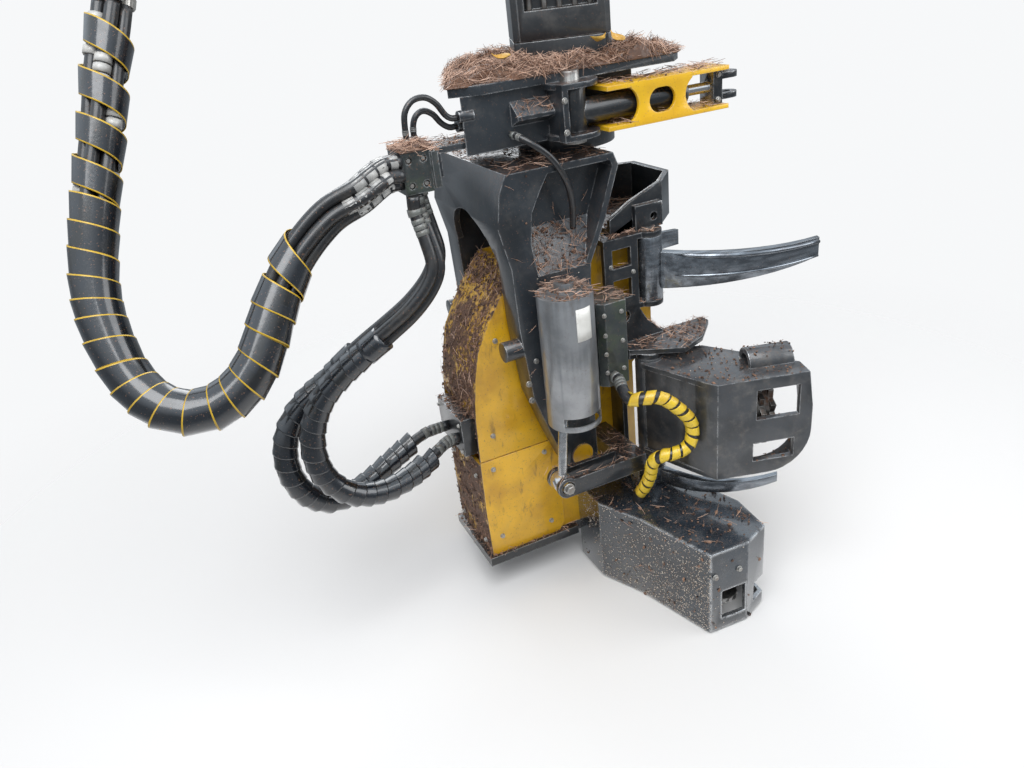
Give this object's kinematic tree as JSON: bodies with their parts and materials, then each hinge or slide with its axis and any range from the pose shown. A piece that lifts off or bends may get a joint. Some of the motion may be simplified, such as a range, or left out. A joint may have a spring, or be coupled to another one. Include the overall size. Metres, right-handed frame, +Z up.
{
  "type": "forestry harvester head",
  "caption": "Felling and delimbing head that hangs from a crane on its rotator, with curved knives, toothed feed rollers, a boxed saw bar and looped hydraulic hoses.",
  "frame": {"origin": "centre of the bore in the hanger lug that the crane's pin goes through", "axes": "+Z up, +X towards the opening for the stem, +Y to the head's far side as seen in the picture; the pin lies along Y"},
  "size_m": [1.7092, 1.093, 1.776],
  "materials": {
    "grey_casting": "dusty dark grey paint on castings",
    "grey_paint": "dusty dark grey paint, worn at the edges",
    "bright_steel": "bare steel worn bright by use",
    "guard_paint": "silver grey paint",
    "block_steel": "machined block with a mossy film",
    "hose_rubber": "black rubber in a black spiral wrap",
    "zinc_steel": "zinc plated couplings",
    "black_paint": "black paint, scuffed",
    "rod_chrome": "chromed rod",
    "yellow_paint": "yellow paint, soiled low down",
    "blue_black_paint": "blue black paint with bright worn edges",
    "yellow_sleeve": "yellow spiral sleeve",
    "knife_steel": "dark forged steel, bright along the edge",
    "roller_steel": "rust brown cast steel with bright tooth tips",
    "bar_steel": "ground steel"
  },
  "bodies": {
    "rotator": {"hanger_lug": "grey_casting", "rotator_housing": "grey_casting", "housing_studs": "bright_steel"},
    "bracket": {"rotator_flange": "grey_casting", "top_bracket": "grey_paint", "ear_pin": "bright_steel", "neck_ring": "grey_paint", "tilt_yoke": "grey_paint", "tilt_guard": "guard_paint", "tilt_anchor": "bright_steel", "manifold_arm": "grey_paint", "hose_manifold": "block_steel", "crane_hose": "hose_rubber", "crane_couplings": "zinc_steel", "jumper_hoses": "hose_rubber", "pocket_hose": "hose_rubber", "hose_loop": "hose_rubber"},
    "level_barrel": {"push_barrel": "black_paint"},
    "level_rod": {"push_rod": "rod_chrome", "push_guard": "yellow_paint"},
    "tilt_cylinder": {"tilt_barrel": "black_paint"},
    "tilt_piston": {"tilt_rod": "rod_chrome"},
    "head": {"main_frame": "yellow_paint", "rear_cover_upper": "yellow_paint", "rear_cover_lower": "yellow_paint", "rear_foot": "black_paint", "top_hood": "black_paint", "cheek_near": "black_paint", "cheek_far": "black_paint", "hinge_pins": "bright_steel", "valve_block": "block_steel", "tilt_lug": "black_paint", "saw_box": "blue_black_paint", "saw_plate": "black_paint", "hose_socket": "black_paint", "saw_hose": "yellow_sleeve"},
    "wheel": {"measuring_wheel": "bright_steel"},
    "upper_knife_a": {"upper_knife_near": "knife_steel"},
    "upper_knife_b": {"upper_knife_far": "knife_steel"},
    "lower_knife_a": {"lower_knife_near": "knife_steel"},
    "lower_knife_b": {"lower_knife_far": "knife_steel"},
    "roller_arm_a": {"roller_arm_near": "blue_black_paint"},
    "roller_arm_b": {"roller_arm_far": "blue_black_paint"},
    "roller_a": {"feed_roller_near": "roller_steel"},
    "roller_b": {"feed_roller_far": "roller_steel"},
    "saw": {"saw_bar": "bar_steel", "saw_chain": "bar_steel"}
  },
  "joints": [
    {"name": "rotator_turn", "type": "hinge", "parent": "rotator", "child": "bracket", "pos_m": [0, 0, -0.3], "axis": [0, 0, 1], "range_deg": [-150, 150]},
    {"name": "level_swing", "type": "hinge", "parent": "bracket", "child": "level_barrel", "pos_m": [-0.07, -0.17, -0.45], "axis": [0, 0, 1], "range_deg": [-12, 0]},
    {"name": "level_slide", "type": "slide", "parent": "level_barrel", "child": "level_rod", "axis": [1, 0, 0], "range_m": [0, 0.1]},
    {"name": "head_tilt", "type": "hinge", "parent": "bracket", "child": "head", "pos_m": [-0.13, 0, -1.305], "axis": [0, 1, 0], "range_deg": [0, 90], "deforming": ["hose_loop"]},
    {"name": "tilt_swing", "type": "hinge", "parent": "bracket", "child": "tilt_cylinder", "pos_m": [-0.183, -0.277, -0.852], "axis": [0, 1, 0], "range_deg": [-13.5, 1]},
    {"name": "tilt_stroke", "type": "slide", "parent": "tilt_cylinder", "child": "tilt_piston", "axis": [0.1008, 0, 0.9949], "range_m": [0, 0.1115]},
    {"name": "wheel_spin", "type": "hinge", "parent": "head", "child": "wheel", "pos_m": [0.15, 0, -0.975], "axis": [0, 1, 0], "continuous": true},
    {"name": "upper_knife_a_grip", "type": "hinge", "parent": "head", "child": "upper_knife_a", "pos_m": [0.13, -0.15, -0.87], "axis": [0, 0, 1], "range_deg": [-10, 60]},
    {"name": "upper_knife_b_grip", "type": "hinge", "parent": "head", "child": "upper_knife_b", "pos_m": [0.13, 0.15, -0.985], "axis": [0, 0, -1], "range_deg": [-10, 60]},
    {"name": "lower_knife_a_grip", "type": "hinge", "parent": "head", "child": "lower_knife_a", "pos_m": [0.08, -0.215, -1.432], "axis": [0, 0, 1], "range_deg": [-5, 55]},
    {"name": "lower_knife_b_grip", "type": "hinge", "parent": "head", "child": "lower_knife_b", "pos_m": [0.08, 0.215, -1.482], "axis": [0, 0, -1], "range_deg": [-5, 55]},
    {"name": "roller_arm_a_grip", "type": "hinge", "parent": "head", "child": "roller_arm_a", "pos_m": [0.08, -0.215, -1.215], "axis": [0, 0, 1], "range_deg": [0, 45]},
    {"name": "roller_arm_b_grip", "type": "hinge", "parent": "head", "child": "roller_arm_b", "pos_m": [0.08, 0.215, -1.215], "axis": [0, 0, -1], "range_deg": [0, 45]},
    {"name": "roller_a_drive", "type": "hinge", "parent": "roller_arm_a", "child": "roller_a", "pos_m": [0.24575, -0.34561, -1.215], "axis": [0.9511, -0.309, 0], "continuous": true},
    {"name": "roller_b_drive", "type": "hinge", "parent": "roller_arm_b", "child": "roller_b", "pos_m": [0.24575, 0.34561, -1.215], "axis": [0.9511, 0.309, 0], "continuous": true},
    {"name": "saw_swing", "type": "hinge", "parent": "head", "child": "saw", "pos_m": [-0.02, -0.06, -1.645], "axis": [0, 0, 1], "range_deg": [0, 95]}
  ],
  "couplings": [
    {"joint": "tilt_swing", "follows": "head_tilt", "ratio": -0.1397},
    {"joint": "tilt_stroke", "follows": "head_tilt", "m_per_rad": 0.0706}
  ]
}
